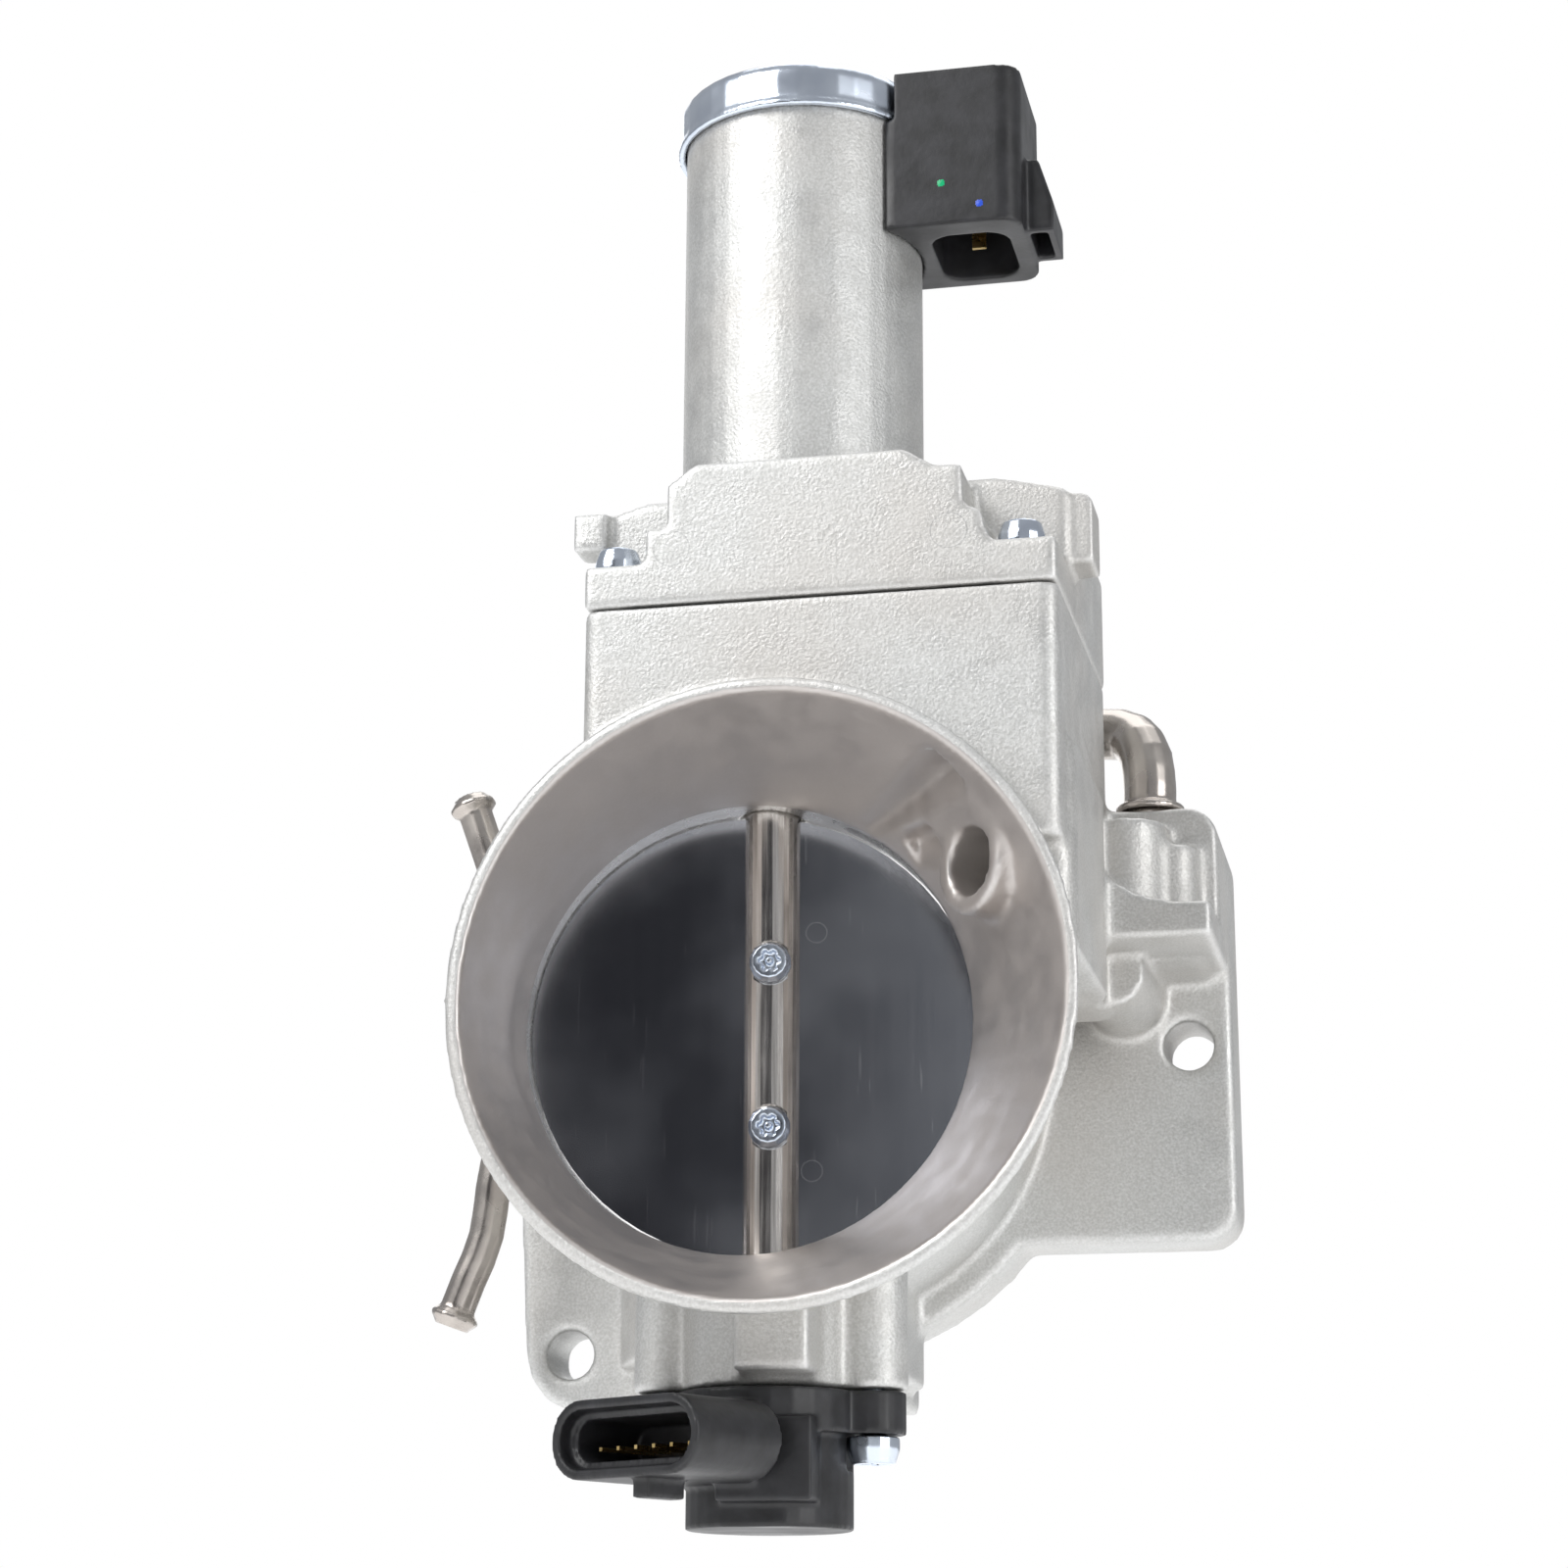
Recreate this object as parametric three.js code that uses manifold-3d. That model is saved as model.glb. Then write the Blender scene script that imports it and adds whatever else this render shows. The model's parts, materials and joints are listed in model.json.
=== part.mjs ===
// Electronic throttle body: a cast air passage with a butterfly plate, a reduction gear train
// and a motor above it, and a shaft position sensor below it.
//
// Millimetres, +Z up. The origin is the centre of the air bore on the manifold mounting face.
// Air flows along +Y, from the bell mouth to the manifold. +Z runs along the throttle shaft
// towards the motor, and +X points to the side with the crankcase vent connection.

import * as THREE from 'three';
import { mergeVertices } from 'three/addons/utils/BufferGeometryUtils.js';
import Module from 'manifold-3d';

const wasm = await Module();
wasm.setup();

// ---------------------------------------------------------------- driving dimensions

const GAP = 0.3;                 // clearance between pieces that face each other
const FIT = 0.12;                // radial clearance of a piece seated in a hole

// air passage
const BORE_R = 39;
const THROAT_OUT_R = 44.5;
const THROAT_Y = -67;            // where the bell starts to open
const MOUTH = { x: 8.7, y: -98, inner: 50.2, outer: 52.7 };
const BELL_POWER = 1.15;         // how late the bell flares

// manifold flange
const FLANGE_T = 16;
const BOLT_R = 4.5;
const BOLTS = [[70.1, 4.3], [-44.8, -49], [-27, 61]];
const FLANGE_RIGHT_X = 78;

// throttle shaft, plate and sensor axis
const SHAFT = { x: 2.5, y: -58, r: 5, top: 67.3, bottom: -72 };
const PLATE = { r: 38.7, t: 2.5, tilt: 7, screwZ: [12, -16.6] };

// gear housing and its cover
const HOUSING = { x0: -23, x1: 58, y0: -93.5, y1: -30, floor: 54, top: 67.4 };
const WALL = 4;
const COVER_Z = HOUSING.top + GAP;
const COVER_SCREWS = [[-18.6, -87], [51.4, -87], [-18.6, -36], [51.4, -36]];
const LEDGE_Z = 75.3;            // seats of the cover screws
const CAVITY_TOP = 75.6;

// gear train: the sector turns the shaft, the idler carries a wheel and a pinion
const SECTOR = { teeth: 44, module: 1, z0: 59.6, z1: 64.8 };
const IDLER_PINION = { teeth: 13, module: 1, z0: 59, z1: 66 };
const IDLER_WHEEL = { teeth: 49, module: 0.8, z0: 66, z1: 71 };
const MOTOR_PINION = { teeth: 10, module: 0.8, z0: 68, z1: 71.6 };
const PRESSURE_ANGLE = 25 * Math.PI / 180;
const BACKLASH = 0.22;

// motor
const MOTOR = { x: 7.6, y: -58, tubeR: 21.8, boreR: 19.5, z0: 80, z1: 172 };
const CAP = { r: 23, inner: 22.1, z0: 165.3, z1: 174.5 };
const CONNECTOR = { x0: 27, x1: 49.8, y0: -72, y1: -44.5, z0: 143.5, z1: 174 };
const SOCKET = { x0: 32.5, x1: 46.5, y0: -66.5, y1: -47.5, depth: 17 };
const TERMINALS = [-61, -53];    // the contacts' places along Y

// position sensor
const SENSOR = { z1: -61, flange: 7, bottom: -83.4, barrelR: 14, screwDx: 17.5 };
const PLUG = { angle: 30, reach: 34.7, z: -70.2, width: 33, height: 12.8, depth: 17 };
const PIN_COUNT = 6;
const PIN_PITCH = 4;

// hose connections
const ELBOW = { x: 65.5, y: -28, r: 4.8, bore: 3.8, z0: 36 };
const ELBOW_PATH = [
  [65.5, -28, 36], [65.5, -28, 45], [65.5, -27.5, 51], [64.4, -26, 57], [61, -22.5, 61.2], [53, -20, 62.5],
  [44, -18.5, 62.5],
];
const COOLANT = { x: -52, y: -33, r: 3.25, bore: 2.3 };
const UPPER_NIPPLE = [[-49.6, -33, 20], [-54.7, -33, 34], [-58.3, -33, 44], [-61.6, -33, 53.1]];
const LOWER_PIPE = [
  [-51.2, -33, 1], [-52.6, -33, -9], [-54.6, -33, -18.5], [-56.1, -33, -30], [-59.6, -33, -38.8],
  [-62.1, -33, -45.7],
];
const VENT = { x: 43.6, y: -84, z: 22.2, r: 5.75, turn: 47 };

// ---------------------------------------------------------------- materials

const finish = (color, roughness, metalness) =>
  new THREE.MeshStandardMaterial({ color, roughness, metalness });
const CAST = finish(0xc4c3c1, 0.55, 0.9);
const POLISHED = finish(0xb9b2ad, 0.2, 1);
const PLATE_STEEL = finish(0x6f7178, 0.25, 1);
const ZINC = finish(0xb4bfd0, 0.25, 1);
const BLACK = finish(0x1d1d20, 0.5, 0);
const RUBBER = finish(0x151515, 0.8, 0);
const BRASS = finish(0xc9a24a, 0.3, 1);
const COPPER = finish(0xb5652d, 0.35, 1);
const NYLON = finish(0xd8d2c0, 0.5, 0);
const STAINLESS = finish(0xa59c94, 0.25, 1);
const IRON = finish(0x55565a, 0.5, 1);

// ---------------------------------------------------------------- solids and booleans

// Welds a geometry into a closed solid that faces outwards.
function solid(geometry) {
  geometry.deleteAttribute('normal');
  geometry.deleteAttribute('uv');
  const merged = mergeVertices(geometry, 1e-4);
  const index = merged.index.array;
  const faces = [];
  for (let i = 0; i < index.length; i += 3) {
    const [a, b, c] = [index[i], index[i + 1], index[i + 2]];
    if (a !== b && b !== c && a !== c) faces.push([a, b, c]);
  }
  const build = (triangles) => new wasm.Manifold(new wasm.Mesh({
    numProp: 3,
    vertProperties: merged.attributes.position.array,
    triVerts: new Uint32Array(triangles.flat()),
  }));
  const body = build(faces);
  return body.volume() > 0 ? body : build(faces.map(([a, b, c]) => [a, c, b]));
}

const join = (...pieces) => pieces.reduce((a, b) => a.add(b));
const cut = (body, ...tools) => tools.reduce((a, b) => a.subtract(b), body);

function box(x0, x1, y0, y1, z0, z1) {
  const geometry = new THREE.BoxGeometry(Math.abs(x1 - x0), Math.abs(y1 - y0), Math.abs(z1 - z0));
  geometry.translate((x0 + x1) / 2, (y0 + y1) / 2, (z0 + z1) / 2);
  return solid(geometry);
}

// A cylinder along Z, with a second radius at its top where it tapers.
function cylZ(r, z0, z1, x = 0, y = 0, n = 24, topR = r) {
  const geometry = new THREE.CylinderGeometry(topR, r, z1 - z0, n);
  geometry.rotateX(Math.PI / 2);
  geometry.translate(x, y, (z0 + z1) / 2);
  return solid(geometry);
}

function cylY(r, y0, y1, x = 0, z = 0, n = 24, farR = r) {
  const geometry = new THREE.CylinderGeometry(farR, r, y1 - y0, n);
  geometry.translate(x, (y0 + y1) / 2, z);
  return solid(geometry);
}

// A cylinder between two points.
function rod(from, to, r, n = 20) {
  const a = new THREE.Vector3(...from);
  const b = new THREE.Vector3(...to);
  const geometry = new THREE.CylinderGeometry(r, r, a.distanceTo(b), n);
  const along = b.clone().sub(a).normalize();
  geometry.applyQuaternion(new THREE.Quaternion().setFromUnitVectors(new THREE.Vector3(0, 1, 0), along));
  geometry.translate(...a.add(b).multiplyScalar(0.5).toArray());
  return solid(geometry);
}

function tubeZ(outer, inner, z0, z1, x = 0, y = 0, n = 24) {
  return cylZ(outer, z0, z1, x, y, n).subtract(cylZ(inner, z0 - 1, z1 + 1, x, y, n));
}

const extruded = (shape, depth) =>
  new THREE.ExtrudeGeometry(shape, { depth, bevelEnabled: false, curveSegments: 4 });

// An outline in X and Y, raised along Z.
function prismZ(outline, z0, z1) {
  const shape = outline instanceof THREE.Shape ? outline : shapeOf(outline);
  const geometry = extruded(shape, z1 - z0);
  geometry.translate(0, 0, z0);
  return solid(geometry);
}

// An outline in X and Z, drawn along Y.
function prismY(outline, y0, y1) {
  const shape = outline instanceof THREE.Shape ? outline : shapeOf(outline);
  const geometry = extruded(shape, y1 - y0);
  geometry.rotateX(Math.PI / 2);
  geometry.translate(0, y1, 0);
  return solid(geometry);
}

const shapeOf = (points) => new THREE.Shape(points.map(([a, b]) => new THREE.Vector2(a, b)));

// A rectangle with round corners.
function roundRect(x0, x1, y0, y1, r) {
  const shape = new THREE.Shape();
  shape.absarc(x1 - r, y1 - r, r, 0, Math.PI / 2, false);
  shape.absarc(x0 + r, y1 - r, r, Math.PI / 2, Math.PI, false);
  shape.absarc(x0 + r, y0 + r, r, Math.PI, Math.PI * 1.5, false);
  shape.absarc(x1 - r, y0 + r, r, Math.PI * 1.5, Math.PI * 2, false);
  return shape;
}

// A profile of [radius, height] points turned about a vertical axis.
function turned(profile, x = 0, y = 0, n = 14) {
  const geometry = new THREE.LatheGeometry(profile.map(([r, z]) => new THREE.Vector2(r, z)), n);
  geometry.rotateX(Math.PI / 2);
  geometry.translate(x, y, 0);
  return solid(geometry);
}

// A round bar or tube swept along a curve.
function swept(curve, r, steps, sides = 12) {
  const section = new THREE.Shape();
  section.absarc(0, 0, r, 0, Math.PI * 2, false);
  return solid(new THREE.ExtrudeGeometry(section, {
    steps, extrudePath: curve, bevelEnabled: false, curveSegments: sides,
  }));
}

function turnedBy(piece, axis, degrees, centre) {
  const away = centre.map((v) => -v);
  return piece.translate(away).rotate(axis.map((v) => v * degrees)).translate(centre);
}

const assembly = new THREE.Group();

function part(name, piece, material) {
  const mesh = piece.getMesh();
  const geometry = new THREE.BufferGeometry();
  geometry.setAttribute('position', new THREE.BufferAttribute(mesh.vertProperties, 3));
  geometry.setIndex(new THREE.BufferAttribute(mesh.triVerts, 1));
  geometry.computeVertexNormals();
  const node = new THREE.Mesh(geometry, material);
  node.name = name;
  assembly.add(node);
}

// ---------------------------------------------------------------- body casting

// The bell is a turned shape whose centre slides sideways as it opens.
const bellOpen = (y) => Math.min(Math.max((THROAT_Y - y) / (THROAT_Y - MOUTH.y), 0), 1.1);

function bellShape(profile, n = 60) {
  const geometry = new THREE.LatheGeometry(profile.map(([r, y]) => new THREE.Vector2(r, y)), n);
  const at = geometry.attributes.position;
  for (let i = 0; i < at.count; i++) {
    at.setX(i, at.getX(i) + MOUTH.x * bellOpen(at.getY(i)));
  }
  return solid(geometry);
}

function bellOutside() {
  const profile = [[0, MOUTH.y], [MOUTH.outer - 0.8, MOUTH.y], [MOUTH.outer, MOUTH.y + 0.8]];
  for (const t of [0.6, 0.25, 0]) {
    const y = THROAT_Y + t * (MOUTH.y - THROAT_Y);
    profile.push([THROAT_OUT_R + (MOUTH.outer - THROAT_OUT_R) * t ** BELL_POWER, y]);
  }
  profile.push([THROAT_OUT_R, -8], [0, -8]);
  return bellShape(profile);
}

function bellInside() {
  const profile = [[0, MOUTH.y - 2], [MOUTH.inner + 0.6, MOUTH.y - 2]];
  for (const t of [1, 0.7, 0.4, 0.15, 0]) {
    const y = THROAT_Y + t * (MOUTH.y - THROAT_Y);
    profile.push([BORE_R - 0.4 + (MOUTH.inner - BORE_R + 0.4) * t ** BELL_POWER, y]);
  }
  profile.push([BORE_R - 2, THROAT_Y + 3], [0, THROAT_Y + 3]);
  return bellShape(profile);
}

function flange() {
  const right = prismY(roundRect(-10, FLANGE_RIGHT_X, -31, 44, 6), -FLANGE_T, 0);
  const lowerLeft = prismY([
    [-55.5, -10], [-53.3, -48], [-52.2, -53], [-49, -57.2], [-44, -59.5], [17.7, -59.5], [17.7, -10],
  ], -FLANGE_T, 0);
  const ear = BOLTS[2];
  const upper = prismY(
    [[-50, 0], [ear[0] - 10, ear[1] - 2], [ear[0] + 6, ear[1] + 8], [20, 46], [30, 0]], -FLANGE_T, 0);
  return join(right, lowerLeft, upper, cylY(10, -FLANGE_T, 0, ear[0], ear[1], 20),
    cylY(50, -FLANGE_T, 0, 0, 0, 48));
}

function gearHousing() {
  const h = HOUSING;
  return prismZ(roundRect(h.x0, h.x1, h.y0, h.y1, 2.5), 24, h.top);
}

// The solid corner that carries a cover screw, out to the housing wall and beyond.
function screwCorner([x, y], r, z0, z1) {
  const outX = x + (x < 17 ? -20 : 20);
  const outY = y + (y < -60 ? -20 : 20);
  const inX = x + (x < 17 ? r : -r);
  const inY = y + (y < -60 ? r : -r);
  return join(cylZ(r, z0, z1, x, y, 20), box(x, outX, inY, outY, z0, z1), box(inX, outX, y, outY, z0, z1));
}

// The housing outline moved inwards, stepping round the corners that carry the screws.
function insetOutline(inset, cornerR, z0, z1) {
  const h = HOUSING;
  const room = prismZ(roundRect(h.x0 + inset, h.x1 - inset, h.y0 + inset, h.y1 - inset, 3), z0, z1);
  return cut(room, ...COVER_SCREWS.map((at) => screwCorner(at, cornerR, z0 - 1, z1 + 1)));
}

const gearCavity = (z0, z1) => insetOutline(WALL, 6.2, z0, z1);

function coverSealRing(clear, z0, z1) {
  return insetOutline(1.1 - clear, 3.2 - clear, z0, z1)
    .subtract(insetOutline(2.5 + clear, 4.6 + clear, z0 - 1, z1 + 1));
}

// The vent connection: a gallery beside the bell, a flange boss and a stepped shelf.
function ventBoss() {
  const gallery = join(
    prismZ(roundRect(33, 59.5, -89, -45, 4), 6, 42),
    prismZ(roundRect(36, 58, -60, -30, 4), 6, 47));
  const block = prismY(roundRect(42, FLANGE_RIGHT_X, 15.8, 44, 6), -34, -1);
  const arc = new THREE.Shape();
  arc.moveTo(48, 16.4);
  arc.lineTo(FLANGE_RIGHT_X, 16.4);
  arc.lineTo(FLANGE_RIGHT_X, 22.6);
  arc.lineTo(71, 22.8);
  arc.quadraticCurveTo(58.5, 24, 56, 36);
  arc.lineTo(48, 40);
  const shelf = prismY(arc, -51, -20);
  const columns = join(cylZ(7.5, 17, 40, 62, -36, 24), cylZ(4.6, 17, 36, 70, -34.5, 16));
  const pad = cylY(6, -40, -8, 59, 13, 24, 7.5);
  return join(gallery, block, shelf, columns, pad);
}

// A point on the vent hole's axis, d in front of its mouth.
function onVent(d) {
  const turn = VENT.turn * Math.PI / 180;
  return [VENT.x - Math.sin(turn) * d, VENT.y - Math.cos(turn) * d, VENT.z];
}

// The recess above the vent hole, the hole itself and its drilling to the elbow.
function ventPassage() {
  const slope = box(0, 60, -60, 20, 0, 30).rotate([-13.5, 0, 0]).translate([0, -68, 33.5]);
  const recess = cut(prismZ([[21, -67], [33.2, -80.6], [43, -92.6], [30, -97], [8, -76]], 30, 46), slope);
  const notch = prismZ([[36.5, -76.5], [33, -81], [26, -76], [30.5, -70]], 18.5, 31);
  const bend = [51.5, ELBOW.y, 26];
  const drilling = join(rod(onVent(-10), bend, 1.9, 14), rod(bend, [ELBOW.x, ELBOW.y, 28], 1.9, 14));
  return join(recess, notch, rod(onVent(9), onVent(-12), VENT.r, 28), drilling,
    cylZ(1.9, 26, 50, ELBOW.x, ELBOW.y, 14));
}

const ventPad = () => rod(onVent(3), onVent(-12), 9, 28);

function coolantBoss() {
  return prismZ(roundRect(COOLANT.x - 6.5, -36, COOLANT.y - 8, COOLANT.y + 18, 5), -9, 33);
}

// Three columns carry the sensor; the middle one holds the lower shaft bearing.
function sensorColumns() {
  const foot = SENSOR.z1 + GAP;
  const middle = cylZ(14.5, foot, -36, SHAFT.x, SHAFT.y);
  const sides = [-1, 1].map((s) => cylZ(6, foot, -34, SHAFT.x + s * SENSOR.screwDx, SHAFT.y, 20));
  const web = box(SHAFT.x - SENSOR.screwDx, SHAFT.x + SENSOR.screwDx, SHAFT.y - 3, -8, -56, -36);
  const pad = box(0.5, 13.2, SHAFT.y - 20, SHAFT.y, -59, -40);
  const gusset = prismZ([[-34, -8], [-34, -20], [-24, -40], [-10, -46], [-10, -8]], -52, -30);
  return join(middle, ...sides, web, pad, gusset);
}

function shaftBores() {
  const { x, y, r } = SHAFT;
  return join(
    cylZ(r + 0.25, -62, 60, x, y, 24),
    cylZ(7 + FIT, 43, 60, x, y), cylZ(9 + FIT, 51.2, 56, x, y),
    cylZ(7 + FIT, -70, -46, x, y), cylZ(9 + FIT, -70, -56, x, y));
}

const pathOf = (points) => new THREE.CatmullRomCurve3(points.map((p) => new THREE.Vector3(...p)));

// The hole a pipe is pressed into, a little deeper than the pipe.
function pipeSeat([first, second], r) {
  const start = new THREE.Vector3(...first);
  const along = new THREE.Vector3(...second).sub(start).normalize();
  const back = start.clone().addScaledVector(along, -GAP);
  return rod(back.toArray(), start.addScaledVector(along, 17).toArray(), r + GAP, 16);
}

function coolantBores() {
  const passage = rod([-50, COOLANT.y, 22], [-51.4, COOLANT.y, -1], COOLANT.bore, 12);
  return join(pipeSeat(UPPER_NIPPLE, COOLANT.r), pipeSeat(LOWER_PIPE, COOLANT.r), passage);
}

function bodyCasting() {
  const outside = join(bellOutside(), flange(), gearHousing(), ventBoss(), coolantBoss(), sensorColumns());
  const inside = cut(bellInside(), ventPad());
  const bolts = BOLTS.map(([x, z]) => cylY(BOLT_R, -FLANGE_T - 1, 1, x, z, 24));
  const coverThreads = COVER_SCREWS.map(([x, y]) => cylZ(2.1, 52, 70, x, y, 14));
  const sensorThreads = [-1, 1].map((s) =>
    cylZ(2.1, -70, -48, SHAFT.x + s * SENSOR.screwDx, SHAFT.y, 14));
  const idlerSeat = cylZ(2 + FIT, 48, 60, IDLER.x, IDLER.y, 16);
  const elbowSeat = cylZ(ELBOW.r + FIT, ELBOW.z0 - GAP, 50, ELBOW.x, ELBOW.y, 24);
  return cut(outside, inside, cylY(BORE_R, -76, 1, 0, 0, 60), gearCavity(HOUSING.floor, HOUSING.top + 1),
    coverSealRing(0.15, HOUSING.top - 1.6, HOUSING.top + 1), ventPassage(), shaftBores(), coolantBores(),
    ...bolts, ...coverThreads, ...sensorThreads, idlerSeat, elbowSeat);
}

// ---------------------------------------------------------------- cover and motor tube

const COVER_FRONT = [
  [-22.9, COVER_Z], [58, COVER_Z], [58, LEDGE_Z], [46.8, LEDGE_Z], [45.3, 80.9], [42.6, 81.8], [42.1, 89.2],
  [37.5, 89.3], [32.5, 92.6], [-3.9, 92.6], [-8.6, 89], [-8.6, 81.3], [-12.3, 81.3], [-12.3, LEDGE_Z],
  [-22.9, LEDGE_Z],
];
const COVER_REAR = [[-22.9, COVER_Z], [58, COVER_Z], [58, 88.4], [46.7, 91], [-15.4, 91], [-22.9, 88.8]];

function coverOutside() {
  const h = HOUSING;
  const left = box(-28, -22, -83, -76, 82, 89);
  const right = prismY([[57, 75], [62.5, 75], [62.5, 86], [61.5, 87.5], [57, 87.5]], -80, -70);
  return join(
    prismY(COVER_FRONT, h.y0, -80.8), prismY(COVER_REAR, -81, h.y1), left, right,
    cylZ(23.4, 80, 94, MOTOR.x, MOTOR.y, 40, 21.8), cylZ(MOTOR.tubeR, 80, MOTOR.z1, MOTOR.x, MOTOR.y, 40),
    cylZ(4.5, 73.3, 78, IDLER.x, IDLER.y, 20));
}

function gearCover() {
  const screwHoles = COVER_SCREWS.map(([x, y]) =>
    join(cylZ(2.45, 66, 77, x, y, 14), cylZ(4.9, LEDGE_Z, 95, x, y, 24)));
  const cavity = cut(gearCavity(COVER_Z - 1, CAVITY_TOP), cylZ(4.5, 73.3, 78, IDLER.x, IDLER.y, 20));
  const pocket = box(37, 53.5, -79, -43, CAVITY_TOP - 1, 85);
  const tongueSlot = box(18, 34, -61.4, -54.6, 166.2, MOTOR.z1 + 1);
  const front = HOUSING.y0;
  const marks = [[-7.4, 77.5], [40.5, 77.4]].map(([x, z]) =>
    cylY(3.1, front - 1, front + 0.3, x, z).subtract(cylY(2.7, front - 2, front + 1, x, z)));
  return cut(coverOutside(), ...screwHoles, cavity, pocket, tongueSlot, ...marks,
    cylZ(MOTOR.boreR, MOTOR.z0, MOTOR.z1 + 1, MOTOR.x, MOTOR.y, 40),
    cylZ(6 + FIT, 76.3, 81, MOTOR.x, MOTOR.y, 24), cylZ(3.5, 74, 78, MOTOR.x, MOTOR.y, 20),
    cylZ(2 + FIT, 72, 77.5, IDLER.x, IDLER.y, 16));
}

function motorCap() {
  const shell = turned([
    [0, CAP.z1], [CAP.r - 2, CAP.z1], [CAP.r - 0.6, CAP.z1 - 0.7], [CAP.r, CAP.z1 - 2.2],
    [CAP.r, CAP.z0 + 1.8],
    [CAP.r + 0.4, CAP.z0 + 0.9], [CAP.r + 0.4, CAP.z0], [CAP.inner, CAP.z0], [CAP.inner, CAP.z1 - 1.8],
    [0, CAP.z1 - 1.8],
  ], MOTOR.x, MOTOR.y, 40);
  return cut(shell, box(22, 34, -61.4, -54.6, 164, 171.4));
}

function motorConnector() {
  const c = CONNECTOR;
  const block = prismZ(roundRect(c.x0 - 4, c.x1, c.y0, c.y1, 4), c.z0, c.z1);
  const clearTube = join(
    cylZ(MOTOR.tubeR + GAP, 140, 166, MOTOR.x, MOTOR.y, 40),
    cylZ(CAP.r + 0.4 + GAP, CAP.z0 - GAP, 176, MOTOR.x, MOTOR.y, 40));
  const tongue = box(24.5, 34, -61, -55, 166.5, 171);
  const latch = prismY([[49, 144], [54.8, 144], [54.8, 149.5], [52.2, 158], [49, 158]], -65, -51.5);
  const s = SOCKET;
  const socket = prismZ(roundRect(s.x0, s.x1, s.y0, s.y1, 4), c.z0 - 1, c.z0 + s.depth);
  const slots = TERMINALS.map((y) => box(38.2 - FIT, 40.8 + FIT, y - 0.4 - FIT, y + 0.4 + FIT, 158, 169.3));
  const latchPocket = box(50.4, 53.5, -63.5, -53, 143, 150.5);
  return cut(join(cut(block, clearTube), tongue, latch), socket, ...slots, latchPocket);
}

// ---------------------------------------------------------------- motor

function magnet(side) {
  const ring = tubeZ(17.2, 14.4, 92, 148, MOTOR.x, MOTOR.y, 32);
  const wedge = prismZ([[0, 0], [side * 30, 14], [side * 30, -14]], 90, 150);
  return ring.intersect(wedge.translate([MOTOR.x, MOTOR.y, 0]));
}

function armatureCore() {
  const disc = cylZ(13.6, 100, 140, MOTOR.x, MOTOR.y, 24);
  const slots = [];
  for (let i = 0; i < 8; i++) {
    const slot = box(9.5, 15, -0.9, 0.9, 99, 141).rotate([0, 0, i * 45]);
    slots.push(slot.translate([MOTOR.x, MOTOR.y, 0]));
  }
  return cut(disc, ...slots, cylZ(2.5 + FIT, 99, 141, MOTOR.x, MOTOR.y, 16));
}

function winding(z0, z1) {
  const mid = (z0 + z1) / 2;
  return turned([
    [5, z0], [11, z0], [12.6, z0 + 1.4], [12.9, mid], [12.6, z1 - 1.4], [11, z1], [5, z1], [5, z0],
  ], MOTOR.x, MOTOR.y, 20);
}

function commutator() {
  const ring = tubeZ(7, 2.5 + FIT, 149.5, 157.8, MOTOR.x, MOTOR.y, 16);
  const slots = [];
  for (let i = 0; i < 8; i++) {
    const slot = box(5.6, 8, -0.25, 0.25, 149, 158.5).rotate([0, 0, i * 45 + 22.5]);
    slots.push(slot.translate([MOTOR.x, MOTOR.y, 0]));
  }
  return cut(ring, ...slots);
}

function brush(side) {
  return box(MOTOR.x - 2.5, MOTOR.x + 2.5, MOTOR.y + side * 7.25, MOTOR.y + side * 14.5, 151.5, 156.5);
}

function brushHolder() {
  const { x, y } = MOTOR;
  const guides = [-1, 1].map((s) => box(x - 4.5, x + 4.5, y + s * 9, y + s * 16, 149.8, 159));
  const channel = box(x - 2.5 - FIT, x + 2.5 + FIT, y - 20, y + 20, 151.5 - FIT, 156.5 + FIT);
  return cut(join(cylZ(16.8, 158.4, 161.4, x, y, 24), cylZ(9, 158.4, 164.6, x, y, 20), ...guides),
    channel, cylZ(6 + FIT, 160.3, 165, x, y, 24), cylZ(3.2, 158, 162, x, y, 20));
}

// ---------------------------------------------------------------- gears

const pitchR = (gear) => gear.teeth * gear.module / 2;

// The idler axis lies where its two centre distances meet, in front of the shaft.
function idlerAxis() {
  const a = pitchR(SECTOR) + pitchR(IDLER_PINION);
  const b = pitchR(IDLER_WHEEL) + pitchR(MOTOR_PINION);
  const apart = MOTOR.x - SHAFT.x;
  const along = (a * a - b * b + apart * apart) / (2 * apart);
  return { x: SHAFT.x + along, y: SHAFT.y - Math.sqrt(a * a - along * along) };
}

const involute = (angle) => Math.tan(angle) - angle;

// Half the angle a tooth covers at radius r.
function toothHalf(gear, r) {
  const rp = pitchR(gear);
  const base = rp * Math.cos(PRESSURE_ANGLE);
  const atPitch = Math.PI / (2 * gear.teeth) - BACKLASH / (4 * rp);
  return atPitch + involute(PRESSURE_ANGLE) - involute(Math.acos(Math.min(1, base / r)));
}

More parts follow.
